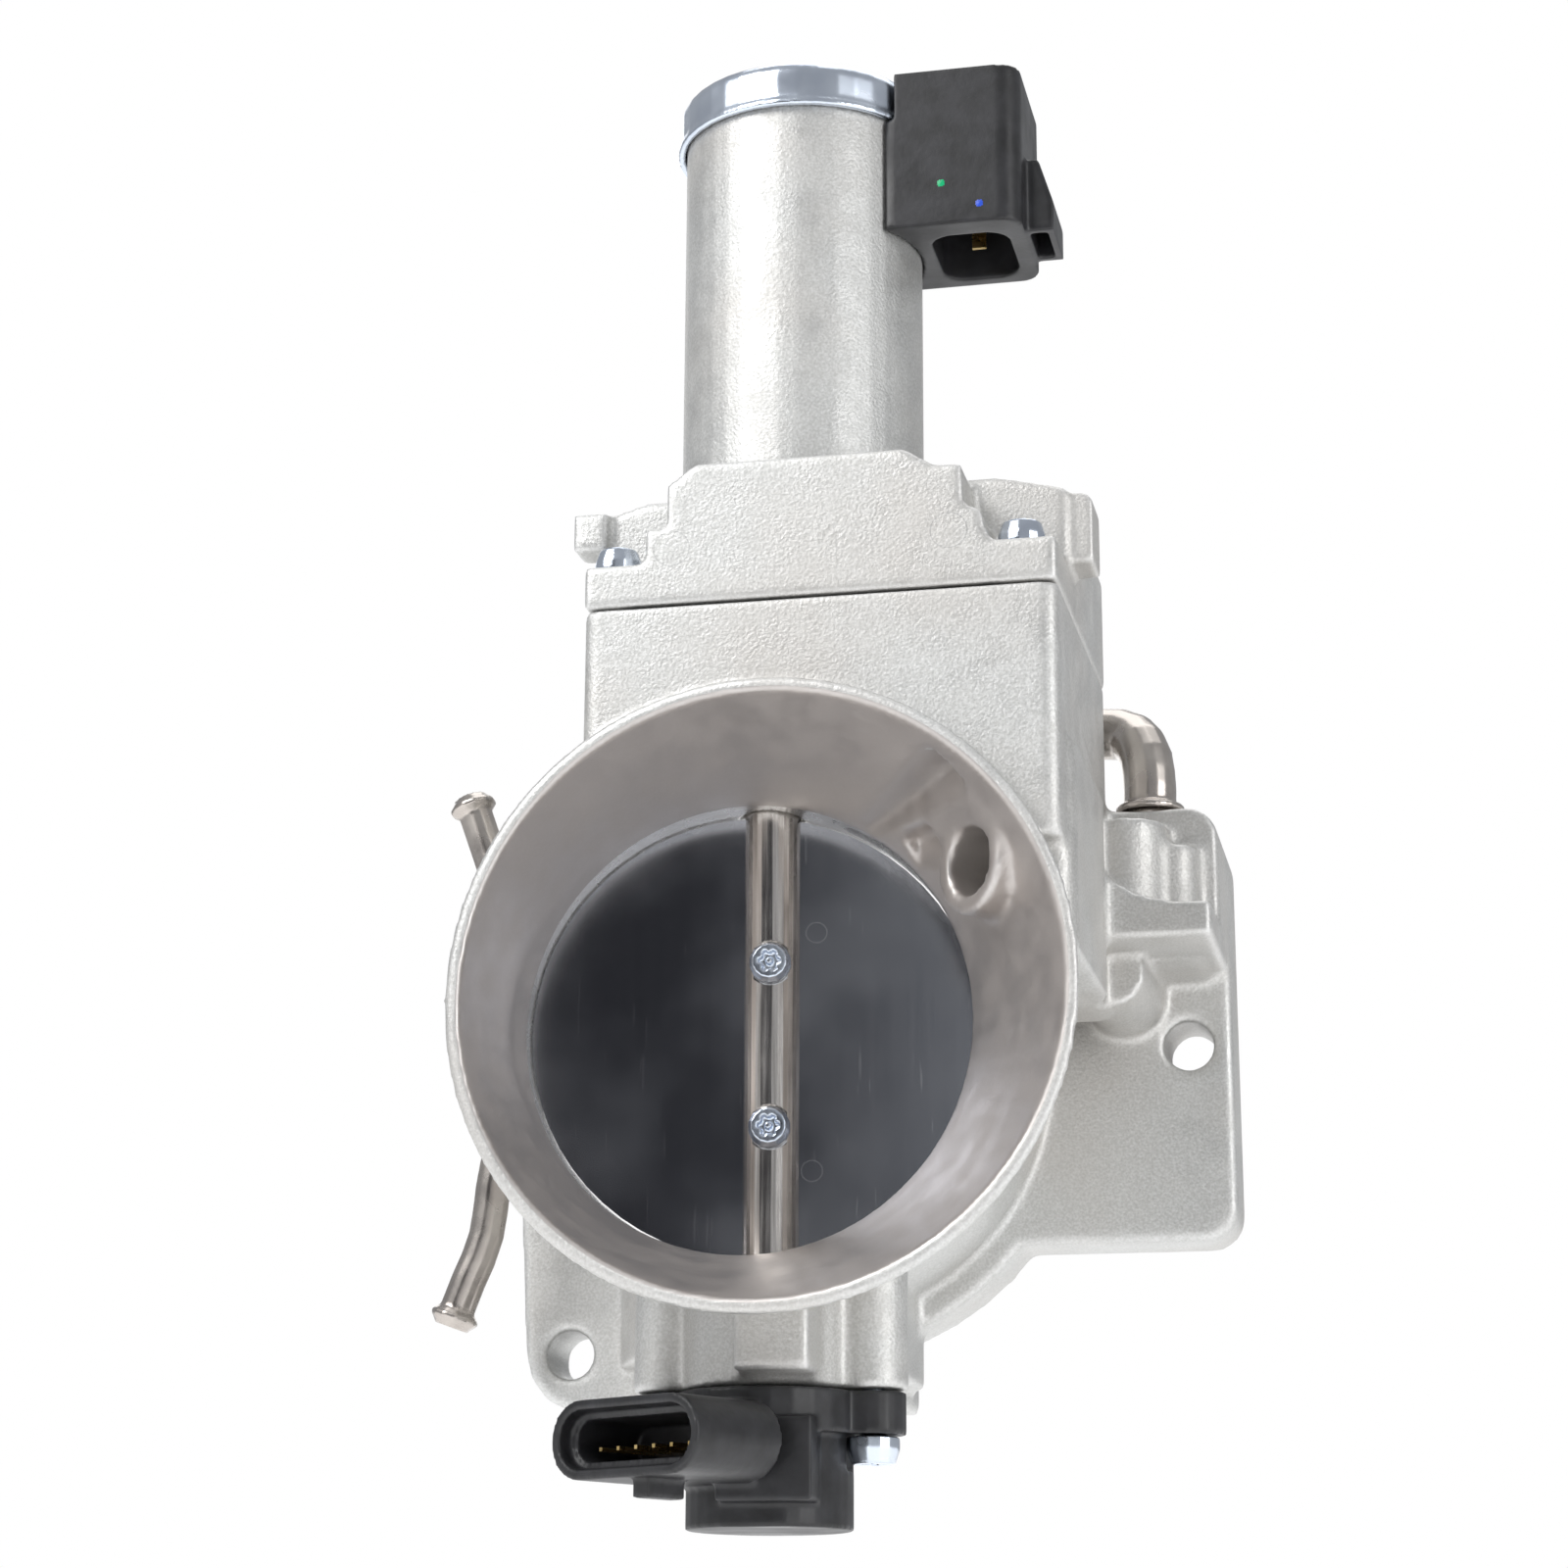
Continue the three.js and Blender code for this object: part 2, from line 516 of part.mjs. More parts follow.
// Outline with one tooth centred on the phase angle; teeth that are left out drop to radius low.
function gearOutline(gear, phase, keep = () => true, low = 8) {
  const rp = pitchR(gear);
  const base = rp * Math.cos(PRESSURE_ANGLE);
  const root = rp - 1.15 * gear.module;
  const tip = rp + 0.85 * gear.module;
  const flank = base > root ? [base, (base + tip) / 2, tip] : [root, tip];
  const step = 2 * Math.PI / gear.teeth;
  const points = [];
  const put = (r, angle) => points.push([r * Math.cos(angle), r * Math.sin(angle)]);
  for (let i = 0; i < gear.teeth; i++) {
    const centre = phase + i * step;
    if (!keep(centre)) {
      put(low, centre);
      continue;
    }
    if (base > root) put(root, centre - toothHalf(gear, base));
    flank.forEach((r) => put(r, centre - toothHalf(gear, r)));
    [...flank].reverse().forEach((r) => put(r, centre + toothHalf(gear, r)));
    if (base > root) put(root, centre + toothHalf(gear, base));
  }
  return points;
}

const angleTo = (from, to) => Math.atan2(to.y - from.y, to.x - from.x);

function gear(shape, at, phase, keep) {
  return prismZ(gearOutline(shape, phase, keep), shape.z0, shape.z1).translate([at.x, at.y, 0]);
}

// Teeth only where the plate's travel brings them to the pinion.
function throttleGear() {
  const toIdler = angleTo(SHAFT, IDLER);
  const inArc = (angle) => {
    const turn = ((angle - toIdler + Math.PI) % (2 * Math.PI) + 2 * Math.PI) % (2 * Math.PI) - Math.PI;
    return turn < 0.27 && turn > -1.75;
  };
  const hub = cylZ(9.5, SECTOR.z0 - 1, SECTOR.z1, SHAFT.x, SHAFT.y, 32);
  return cut(join(gear(SECTOR, SHAFT, toIdler, inArc), hub), driveFlats(FIT, SECTOR.z0 - 2, SECTOR.z1 + 1));
}

// The round shaft with two flats that carry the gear.
function driveFlats(clear, z0, z1) {
  const { x, y, r } = SHAFT;
  const flats = box(x - 8, x + 8, y - 3.6 - clear, y + 3.6 + clear, z0, z1);
  return cylZ(r + clear, z0, z1, x, y).intersect(flats);
}

function idlerGear() {
  const toShaft = angleTo(IDLER, SHAFT);
  const toMotor = angleTo(IDLER, MOTOR);
  const gap = Math.PI / IDLER_PINION.teeth;
  return cut(join(
    cylZ(4.2, 54.5, 72.9, IDLER.x, IDLER.y, 16),
    gear(IDLER_PINION, IDLER, toShaft + gap),
    gear(IDLER_WHEEL, IDLER, toMotor)), cylZ(2 + FIT, 50, 76, IDLER.x, IDLER.y, 16));
}

function motorPinion() {
  const phase = angleTo(MOTOR, IDLER) + Math.PI / MOTOR_PINION.teeth;
  return cut(gear(MOTOR_PINION, MOTOR, phase), cylZ(1.6 + FIT, 60, 80, MOTOR.x, MOTOR.y, 16));
}

function armatureShaft() {
  return turned([
    [0, 68], [1.6, 68], [1.6, 72.2], [2.5, 72.2], [2.5, 165.2], [0, 165.2],
  ], MOTOR.x, MOTOR.y, 16);
}

function returnSpring() {
  const points = [];
  for (let i = 0; i <= 24; i++) {
    const angle = i / 24 * Math.PI * 2 * 1.4;
    points.push([SHAFT.x + 11 * Math.cos(angle), SHAFT.y + 11 * Math.sin(angle), 55.2 + i / 24 * 2.4]);
  }
  return swept(pathOf(points), 0.8, 28, 3);
}

// ---------------------------------------------------------------- shaft and plate

const tilted = (piece) => turnedBy(piece, [0, 0, 1], PLATE.tilt, [SHAFT.x, SHAFT.y, 0]);

function plateSlab(thickness) {
  return tilted(box(-60, 60, SHAFT.y - thickness / 2, SHAFT.y + thickness / 2, -50, 50));
}

const screwHole = (z, r) => tilted(cylY(r, SHAFT.y - 10, SHAFT.y + 10, SHAFT.x, z, 14));

function throttlePlate() {
  const disc = cylY(PLATE.r, -80, -40, 0, 0, 60);
  return cut(disc.intersect(plateSlab(PLATE.t)), ...PLATE.screwZ.map((z) => screwHole(z, 1.95)));
}

function throttleShaft() {
  const { x, y, r } = SHAFT;
  const round = cylZ(r, SHAFT.bottom, SECTOR.z0 - 1.5, x, y, 32);
  const bar = join(round, driveFlats(0, SECTOR.z0 - 2, SHAFT.top));
  const slot = plateSlab(PLATE.t + 2 * FIT).intersect(box(-20, 20, -80, -40, -38.9, 38.9));
  const seats = PLATE.screwZ.map((z) => tilted(cylY(4, y - 9, y - 4, x, z, 24)));
  return cut(bar, slot, ...seats, ...PLATE.screwZ.map((z) => screwHole(z, 1.95)));
}

// A screw with its seat at the origin and its head upwards.
const screw = (headR, headH, shankR, length) => turned([
  [0, -length], [shankR - 0.4, -length], [shankR, 0.5 - length], [shankR, 0], [headR, 0],
  [headR, headH * 0.45], [headR * 0.82, headH], [0, headH],
]);

const crossRecess = (size, top) => join(
  box(-size, size, -0.55, 0.55, top - 1.6, top + 1), box(-0.55, 0.55, -size, size, top - 1.6, top + 1));

function coverScrew([x, y]) {
  return cut(screw(4.1, 4.2, 1.9, 20), crossRecess(2.4, 4.2)).translate([x, y, LEDGE_Z + GAP]);
}

function plateScrew(z) {
  const lobes = join(cylZ(1.5, 1.4, 4, 0, 0, 12), ...[0, 60, 120].map((a) =>
    box(-1.9, 1.9, -0.45, 0.45, 1.4, 4).rotate([0, 0, a])));
  const head = cut(screw(3.65, 2.6, 1.75, 7.6), lobes.subtract(cylZ(0.6, 0, 4, 0, 0, 8)));
  return tilted(head.rotate([90, 0, 0]).translate([SHAFT.x, SHAFT.y - 4.1, z]));
}

function sensorScrew(side) {
  const seat = SENSOR.z1 - SENSOR.flange - GAP;
  const piece = cut(screw(4.5, 4.5, 1.9, 17), crossRecess(2.6, 4.5));
  return piece.rotate([180, 0, 0]).translate([SHAFT.x + side * SENSOR.screwDx, SHAFT.y, seat]);
}

// ---------------------------------------------------------------- position sensor

// Pieces of the plug are drawn pointing along -Y from the sensor axis, then turned to the left.
const onPlug = (piece) => piece.rotate([0, 0, -PLUG.angle]).translate([SHAFT.x, SHAFT.y, PLUG.z]);

function plugRing(shrink, y0, y1) {
  const w = PLUG.width / 2 - shrink;
  const h = PLUG.height / 2 - shrink;
  return prismY(roundRect(-w, w, -h, h, h - 0.1), y0, y1);
}

function sensorPlug() {
  const mouth = -PLUG.reach;
  const neck = box(-9.4, 9.4, -16, -6, -PLUG.height / 2, PLUG.height / 2);
  const body = join(plugRing(0, mouth, -15), neck, box(1, 4.4, mouth + 1.5, mouth + 10, -9.6, -6));
  return onPlug(cut(body, plugRing(1.7, mouth - 1, mouth + 3), plugRing(3, mouth, mouth + PLUG.depth)));
}

function sensorHousing() {
  const s = SENSOR;
  const { x, y } = SHAFT;
  const low = s.z1 - s.flange;
  const ears = join(
    box(x - s.screwDx, x + s.screwDx, y - 5.6, y + 5.6, low, s.z1),
    ...[-1, 1].map((side) => cylZ(5.6, low, s.z1, x + side * s.screwDx, y, 20)));
  const facet = box(x - 20, x + 20, y - 20, y - 13, s.bottom - 1, -76.5);
  const barrel = cut(join(cylZ(16, low, s.z1, x, y, 28), cylZ(s.barrelR, s.bottom, s.z1, x, y, 32)), facet);
  const rib = box(-3, 13, -74.5, -62, -79.5, -66);
  const pocket = cylZ(11.6, -79.4, s.z1 + 1, x, y, 32);
  const holes = [-1, 1].map((side) => join(
    cylZ(2.45, low - 1, s.z1 + 1, x + side * s.screwDx, y, 14),
    cylZ(4.9, low - 5.8, low, x + side * s.screwDx, y, 20)));
  const groove = tubeZ(14.2, 12.5, s.z1 - 1.6, s.z1 + 1, x, y, 32);
  const pinHoles = pins().map((at) => pinBar(at, 0.32 + FIT, -PLUG.reach + PLUG.depth - 1, -9));
  return cut(join(ears, barrel, rib, cut(sensorPlug(), pocket)), pocket, ...holes, groove, ...pinHoles);
}

function pins() {
  return Array.from({ length: PIN_COUNT }, (_, i) => (i - (PIN_COUNT - 1) / 2) * PIN_PITCH);
}

const pinBar = (at, half, y0, y1) => onPlug(box(at - half, at + half, y0, y1, -1.2 - half, -1.2 + half));

// ---------------------------------------------------------------- pipes

// A pipe with a rounded bead at its free end and, where asked, a collar at its foot.
function pipe(points, r, bore, steps, beadR, sides) {
  const end = new THREE.Vector3(...points[points.length - 1]);
  const before = new THREE.Vector3(...points[points.length - 2]);
  const out = end.clone().sub(before).normalize();
  const at = (d) => end.clone().addScaledVector(out, d);
  const bead = bulge(at(-3.4), at(-0.4), r, beadR, sides);
  const first = new THREE.Vector3(...points[0]);
  const second = new THREE.Vector3(...points[1]);
  const foot = first.clone().add(first.clone().sub(second).setLength(1));
  const hole = swept(pathOf([foot.toArray(), ...points, at(1).toArray()]), bore, steps + 2, sides / 4);
  return cut(join(swept(pathOf(points), r, steps, sides / 2), bead), hole);
}

// A bulge round a straight stretch between two points.
function bulge(from, to, r, beadR, sides) {
  const length = from.distanceTo(to);
  const profile = [[0, 0], [r, 0], [beadR, length * 0.35], [beadR, length * 0.6], [r, length], [0, length]];
  const geometry = new THREE.LatheGeometry(profile.map(([a, b]) => new THREE.Vector2(a, b)), sides);
  const along = to.clone().sub(from).normalize();
  geometry.applyQuaternion(new THREE.Quaternion().setFromUnitVectors(new THREE.Vector3(0, 1, 0), along));
  geometry.translate(...from.toArray());
  return solid(geometry);
}

function ventElbow() {
  const collar = turned([
    [0, 44.4], [6, 44.4], [6.4, 45], [6, 45.9], [0, 45.9],
  ], ELBOW.x, ELBOW.y, 24).subtract(cylZ(4, 40, 50, ELBOW.x, ELBOW.y, 16));
  return join(pipe(ELBOW_PATH, ELBOW.r, ELBOW.bore, 14, 5.9, 16), collar);
}

// ---------------------------------------------------------------- assembly

const IDLER = idlerAxis();
const at = (piece, x = SHAFT.x, y = SHAFT.y) => piece.translate([x, y, 0]);

part('body_casting', bodyCasting(), CAST);
part('gear_cover', gearCover(), CAST);
part('gear_cover_seal', coverSealRing(0, HOUSING.top - 1.2, HOUSING.top + 0.1), RUBBER);
COVER_SCREWS.forEach((spot, i) => part(`cover_screw_${i + 1}`, coverScrew(spot), ZINC));
part('motor_cap', motorCap(), ZINC);
part('motor_connector', motorConnector(), BLACK);
TERMINALS.forEach((y, i) =>
  part(`motor_terminal_${i + 1}`, box(38.2, 40.8, y - 0.4, y + 0.4, 147, 169), BRASS));

part('motor_yoke', tubeZ(19.35, 17.4, 84, 157.5, MOTOR.x, MOTOR.y, 40), IRON);
[-1, 1].forEach((side, i) => part(`motor_magnet_${i + 1}`, magnet(side), IRON));
part('armature_shaft', armatureShaft(), POLISHED);
part('armature_core', armatureCore(), IRON);
part('winding_lower', winding(92, 99.7), COPPER);
part('winding_upper', winding(140.3, 148), COPPER);
part('commutator', commutator(), COPPER);
[-1, 1].forEach((side, i) => part(`motor_brush_${i + 1}`, brush(side), IRON));
part('brush_holder', brushHolder(), BLACK);
part('motor_bearing_lower', tubeZ(6, 2.6, 76.6, 79.9, MOTOR.x, MOTOR.y, 24), BRASS);
part('motor_bearing_upper', tubeZ(6, 2.6, 160.6, 164.4, MOTOR.x, MOTOR.y, 24), BRASS);
part('motor_pinion', motorPinion(), BRASS);

part('intermediate_gear', idlerGear(), NYLON);
part('intermediate_pin', cylZ(2, 48.3, 77.2, IDLER.x, IDLER.y, 16), POLISHED);
part('throttle_gear', throttleGear(), NYLON);
part('throttle_gear_nut', cut(at(cylZ(7, 65.1, 67.2, 0, 0, 6)), driveFlats(FIT, 64, 69)), ZINC);
part('return_spring', returnSpring(), POLISHED);

part('throttle_shaft', throttleShaft(), POLISHED);
part('throttle_plate', throttlePlate(), PLATE_STEEL);
PLATE.screwZ.forEach((z, i) => part(`plate_screw_${i + 1}`, plateScrew(z), ZINC));
part('shaft_bearing_upper', at(tubeZ(7, 5.15, 43.3, 51, 0, 0, 20)), POLISHED);
part('shaft_bearing_lower', at(tubeZ(7, 5.15, -55.8, -46.3, 0, 0, 20)), POLISHED);
part('shaft_seal_upper', at(tubeZ(9, 5.15, 51.5, 53.8, 0, 0, 20)), RUBBER);
part('shaft_seal_lower', at(tubeZ(9, 5.15, -60.4, -56.3, 0, 0, 20)), RUBBER);

part('sensor_housing', sensorHousing(), BLACK);
part('sensor_rotor', at(cylZ(8.5, -74, -63.5, 0, 0, 20).subtract(cylZ(5.15, -72.3, -60, 0, 0, 20))), NYLON);
part('sensor_board', at(cylZ(11.2, -79.1, -77.5, 0, 0, 24)), NYLON);
part('sensor_seal', at(tubeZ(14, 12.7, SENSOR.z1 - 1.3, SENSOR.z1 + 0.1)), RUBBER);
[-1, 1].forEach((side, i) => part(`sensor_screw_${i + 1}`, sensorScrew(side), ZINC));
pins().forEach((spot, i) =>
  part(`sensor_terminal_${i + 1}`, pinBar(spot, 0.32, -PLUG.reach + 5, -15.5), BRASS));

part('vent_elbow_pipe', ventElbow(), STAINLESS);
part('coolant_nipple_upper', pipe(UPPER_NIPPLE, COOLANT.r, COOLANT.bore, 3, 4.4, 12), STAINLESS);
part('coolant_pipe_lower', pipe(LOWER_PIPE, COOLANT.r, COOLANT.bore, 11, 4.4, 12), STAINLESS);

export default assembly;
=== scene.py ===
"""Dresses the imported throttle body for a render: cast and machined surfaces, plastics, floor and light."""

import json
from math import pi, tau

import bmesh
import bpy
from mathutils import Matrix, Vector


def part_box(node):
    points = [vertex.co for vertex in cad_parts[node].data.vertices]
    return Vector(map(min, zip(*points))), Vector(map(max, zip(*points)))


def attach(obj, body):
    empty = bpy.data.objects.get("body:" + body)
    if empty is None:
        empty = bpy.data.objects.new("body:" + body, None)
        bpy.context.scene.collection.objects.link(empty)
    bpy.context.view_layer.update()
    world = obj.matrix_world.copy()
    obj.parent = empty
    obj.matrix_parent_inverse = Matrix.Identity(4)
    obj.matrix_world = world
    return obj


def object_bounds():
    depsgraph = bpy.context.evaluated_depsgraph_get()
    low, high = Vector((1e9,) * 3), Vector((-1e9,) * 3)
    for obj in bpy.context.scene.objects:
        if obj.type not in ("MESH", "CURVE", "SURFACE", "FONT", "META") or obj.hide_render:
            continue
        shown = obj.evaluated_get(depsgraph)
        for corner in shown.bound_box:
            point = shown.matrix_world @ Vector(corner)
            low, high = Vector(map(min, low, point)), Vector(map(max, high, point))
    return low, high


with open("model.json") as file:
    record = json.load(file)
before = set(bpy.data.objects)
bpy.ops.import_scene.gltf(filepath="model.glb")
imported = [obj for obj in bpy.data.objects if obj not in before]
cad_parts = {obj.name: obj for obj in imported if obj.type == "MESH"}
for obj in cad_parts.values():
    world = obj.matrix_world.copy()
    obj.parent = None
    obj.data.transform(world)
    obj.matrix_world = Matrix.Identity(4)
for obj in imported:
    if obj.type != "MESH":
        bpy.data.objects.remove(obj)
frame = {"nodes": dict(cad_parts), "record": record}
CAD_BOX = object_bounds()
NODES = frame["nodes"]
MM = 0.001

# Remesh size of the pieces whose edges are rounded by casting, moulding or cold forming, in mm.
VOXELS = {
    "body_casting": 0.85,
    "gear_cover": 0.7,
    "motor_connector": 0.4,
    "sensor_housing": 0.4,
    "motor_cap": 0.4,
    "vent_elbow_pipe": 0.4,
    "coolant_nipple_upper": 0.35,
    "coolant_pipe_lower": 0.35,
    "plate_screw_1": 0.16,
    "plate_screw_2": 0.16,
    "sensor_screw_1": 0.22,
    "sensor_screw_2": 0.22,
}
VOXELS.update({f"cover_screw_{i}": 0.22 for i in range(1, 5)})
SMOOTH_ROUNDS = 4
SCREW_SMOOTH_ROUNDS = 9

# Shape of the air passage, for the casting's material.
BELL_START = -67 * MM
BELL_MOUTH = -98 * MM
BELL_SHIFT = 8.7 * MM
BELL_WIDENING = 11.6 * MM
BELL_POWER = 1.15
BORE_EDGE = 39.1 * MM
# The recess above the vent hole, which the casting's material darkens with painted shade.
RECESS_X = (6 * MM, 50 * MM)
RECESS_Z = (14 * MM, 50 * MM)
RECESS_Y = (-93 * MM, -64 * MM)
RECESS_DEPTH = 9 * MM

# Round marks, as (X, Z) in mm: ejector pins on the cover's front, punch marks on the plate.
COVER_MARKS = [(-7.6, 77.5), (40, 77.3)]
COVER_MARK_RADIUS = 3.1
COVER_FRONT = -93.2 * MM
PLATE_MARKS = [(10.3, 18), (9.6, -23.6)]
PLATE_MARK_RADIUS = 1.8
MARK_HALF_WIDTH = 0.09
BACK_FACE = -0.3 * MM  # the manifold face lies just behind this

SMOOTH_ANGLE = 0.6  # radians between faces that still shade as one

# Dabs of paint on the motor connector: name, X, Z, colour. Sizes in mm.
PAINT_DOTS = [
    ("mark_green", 35.6, 151.5, (0.0, 0.42, 0.16)),
    ("mark_blue", 42.5, 146.9, (0.02, 0.08, 0.6)),
]
DOT_RADIUS = 0.85
DOT_CROWN = 0.12
DOT_SINK = 0.02  # how far the dot's flat back sits inside the connector
DOT_SIDES = 20

# Studio, in metres and watts. Each lamp: name, place, what it points at, size, power.
LAMPS = [
    ("key", (-0.7, -1.0, 0.9), (0, -0.05, 0.05), (0.8, 0.8), 15),
    ("fill", (1.1, -0.7, 0.2), (0, -0.05, 0.03), (0.4, 1.0), 6),
    ("top", (0.1, 0.2, 1.2), (0, -0.05, 0.05), (1.0, 1.0), 5.5),
    ("back", (-0.4, 1.2, 0.5), (0, -0.05, 0.05), (0.9, 0.9), 3.5),
]
SKY_TINT = (0.95, 0.97, 1.0)
SKY_STRENGTH = 0.42
CARD_AT = (-0.235, -0.98, 0.22)
CARD_SIZE = 0.62
CARD_COLOR = (0.02, 0.02, 0.025)
FLOOR_SIZE = 12.0
FLOOR_COLOR = (0.9, 0.9, 0.9)
CLIP = (0.01, 20)

CAMERA_AT = Vector((125.62, -606.27, -115.24)) * MM
CAMERA_RIGHT = Vector((0.9767, 0.2147, 0.0049))
CAMERA_BACK = Vector((0.2077, -0.9388, -0.2748))
CAMERA_LENS = 76.1
SENSOR_WIDTH = 36
FLOOR_DROP = 0.07  # floor below the lowest point of the part
FLOOR_GLOW = 0.38  # keeps the far floor as pale as the near one


# ------------------------------------------------------------------ materials


class Nodes:
    """Builds a material's node tree around its principled shader."""

    def __init__(self, name):
        self.material = bpy.data.materials.new(name)
        self.material.use_nodes = True
        self.tree = self.material.node_tree
        self.shader = self.tree.nodes["Principled BSDF"]
        self.place = self.add("ShaderNodeTexCoord").outputs["Object"]

    def add(self, kind, **settings):
        node = self.tree.nodes.new(kind)
        for key, value in settings.items():
            setattr(node, key, value)
        return node

    def feed(self, socket, value):
        if isinstance(value, bpy.types.NodeSocket):
            self.tree.links.new(value, socket)
        else:
            socket.default_value = value

    def noise(self, scale, detail=3.0, stretch=(1, 1, 1)):
        """Noise in object space, its grain size set by scale per metre."""
        mapping = self.add("ShaderNodeMapping")
        self.feed(mapping.inputs["Vector"], self.place)
        mapping.inputs["Scale"].default_value = stretch
        texture = self.add("ShaderNodeTexNoise")
        self.feed(texture.inputs["Vector"], mapping.outputs["Vector"])
        texture.inputs["Scale"].default_value = scale
        texture.inputs["Detail"].default_value = detail
        return texture.outputs["Fac"]

    def spread(self, value, low, high, start=0.35, end=0.65):
        """Maps the part of value between start and end to low..high."""
        node = self.add("ShaderNodeMapRange")
        self.feed(node.inputs["Value"], value)
        for key, number in zip(("From Min", "From Max", "To Min", "To Max"), (start, end, low, high)):
            node.inputs[key].default_value = number
        return node.outputs["Result"]

    def mix(self, factor, first, second):
        node = self.add("ShaderNodeMix", data_type="RGBA")
        self.feed(node.inputs["Factor"], factor)
        self.feed(node.inputs["A"], first)
        self.feed(node.inputs["B"], second)
        return node.outputs["Result"]

    def maths(self, operation, first, second=0.0):
        node = self.add("ShaderNodeMath", operation=operation)
        self.feed(node.inputs[0], first)
        self.feed(node.inputs[1], second)
        return node.outputs[0]

    def between(self, value, low, high):
        """1 where value is between low and high."""
        above = self.maths("GREATER_THAN", value, low)
        return self.maths("MULTIPLY", above, self.maths("LESS_THAN", value, high))

    def bump(self, height, depth, strength=1.0):
        node = self.add("ShaderNodeBump")
        self.feed(node.inputs["Height"], height)
        node.inputs["Distance"].default_value = depth
        node.inputs["Strength"].default_value = strength
        self.feed(self.shader.inputs["Normal"], node.outputs["Normal"])

    def surface(self, color, roughness, metallic):
        self.feed(self.shader.inputs["Base Color"], color)
        self.feed(self.shader.inputs["Roughness"], roughness)
        self.feed(self.shader.inputs["Metallic"], metallic)
        return self.material

    def axes(self):
        """The three coordinates of a point in the shared frame."""
        split = self.add("ShaderNodeSeparateXYZ")
        self.feed(split.inputs[0], self.place)
        return split.outputs


def rgb(*values):
    return (*values, 1.0)


def bell_inside(n, x, y, z):
    """1 on the air passage's wall and in the recess above the vent hole.

    The passage's centre slides sideways as it widens, so the wall is what lies
    closer to that centre than the radius there.
    """
    opening = n.spread(y, 0, 1, BELL_START, BELL_MOUTH)
    side = n.maths("SUBTRACT", x, n.maths("MULTIPLY", opening, BELL_SHIFT))
    radius = n.maths("SQRT", n.maths("ADD", n.maths("MULTIPLY", side, side), n.maths("MULTIPLY", z, z)))
    widening = n.maths("MULTIPLY", n.maths("POWER", opening, BELL_POWER), BELL_WIDENING)
    wall = n.maths("ADD", widening, BORE_EDGE)
    recess = n.maths("MULTIPLY", n.between(x, *RECESS_X), n.between(z, *RECESS_Z))
    recess = n.maths("MULTIPLY", recess, n.between(y, *RECESS_Y))
    wall = n.maths("ADD", wall, n.maths("MULTIPLY", recess, RECESS_DEPTH))
    return n.maths("LESS_THAN", radius, wall)


def ring_marks(n, x, z, centres, radius):
    """1 on thin circles round the centres, as an ejector pin or a punch leaves them, looking along Y."""
    marks = 0.0
    inner, outer = (radius - MARK_HALF_WIDTH) * MM, (radius + MARK_HALF_WIDTH) * MM
    for centre_x, centre_z in centres:
        across = n.maths("SUBTRACT", x, centre_x * MM)
        along = n.maths("SUBTRACT", z, centre_z * MM)
        square = n.maths("ADD", n.maths("MULTIPLY", across, across), n.maths("MULTIPLY", along, along))
        marks = n.maths("MAXIMUM", n.between(n.maths("SQRT", square), inner, outer), marks)
    return marks


def cast_skin(n, patches):
    """Colour of the sandy cast surface, with faint warm patches."""
    speckle = n.spread(n.noise(2200, 4), 0, 1, 0.38, 0.68)
    color = n.mix(speckle, rgb(0.53, 0.53, 0.515), rgb(0.67, 0.67, 0.66))
    return n.mix(n.maths("MULTIPLY", patches, 0.35), color, rgb(0.54, 0.50, 0.46))


def painted_edge_highlight(n, color):
    """Lightens the convex edges of a casting: a painted highlight."""
    edges = n.spread(n.add("ShaderNodeNewGeometry").outputs["Pointiness"], 0, 1, 0.52, 0.58)
    return n.mix(n.maths("MULTIPLY", edges, 0.5), color, rgb(0.85, 0.85, 0.85))


def cast_aluminium():
    """Grainy casting with a painted highlight on its convex edges, a smoother warm bell and recess darkened
    by painted shade, and machined bore and back face.
    """
    n = Nodes("cast_aluminium")
    x, y, z = n.axes()
    inside = bell_inside(n, x, y, z)
    bore = n.maths("MULTIPLY", inside, n.maths("GREATER_THAN", y, BELL_START))
    cut = n.maths("MAXIMUM", bore, n.maths("GREATER_THAN", y, BACK_FACE))

    patches = n.spread(n.noise(26, 3), 0, 1, 0.42, 0.68)
    warm = n.mix(patches, rgb(0.47, 0.435, 0.415), rgb(0.53, 0.49, 0.465))
    # Inside the bell and in the recess above the vent hole the colour turns warmer and darker. The bell's
    # warmer tone is its own. The bell's darkening, and all of the change in the recess, is painted shade.
    color = n.mix(n.maths("MULTIPLY", inside, 0.9), cast_skin(n, patches), warm)
    # Convex edges lightened: a painted highlight.
    color = painted_edge_highlight(n, color)
    lines = n.spread(n.noise(70, 2, (1, 30, 30)), 0, 1)
    color = n.mix(cut, color, n.mix(lines, rgb(0.64, 0.625, 0.61), rgb(0.73, 0.72, 0.71)))
    marks = ring_marks(n, x, z, COVER_MARKS, COVER_MARK_RADIUS)
    marks = n.maths("MULTIPLY", marks, n.maths("LESS_THAN", y, COVER_FRONT))
    color = n.mix(n.maths("MULTIPLY", marks, 0.45), color, rgb(0.34, 0.34, 0.34))

    rough = n.maths("SUBTRACT", n.spread(n.noise(160, 4), 0.44, 0.58), n.maths("MULTIPLY", inside, 0.08))
    rough = n.maths("SUBTRACT", rough, n.maths("MULTIPLY", cut, 0.16))
    calm = n.maths("SUBTRACT", 1.0, n.maths("MULTIPLY", n.maths("MAXIMUM", inside, cut), 0.85))
    n.bump(n.maths("MULTIPLY", n.noise(1800, 5), calm), 0.2 * MM, 0.5)
    return n.surface(color, rough, 0.8)


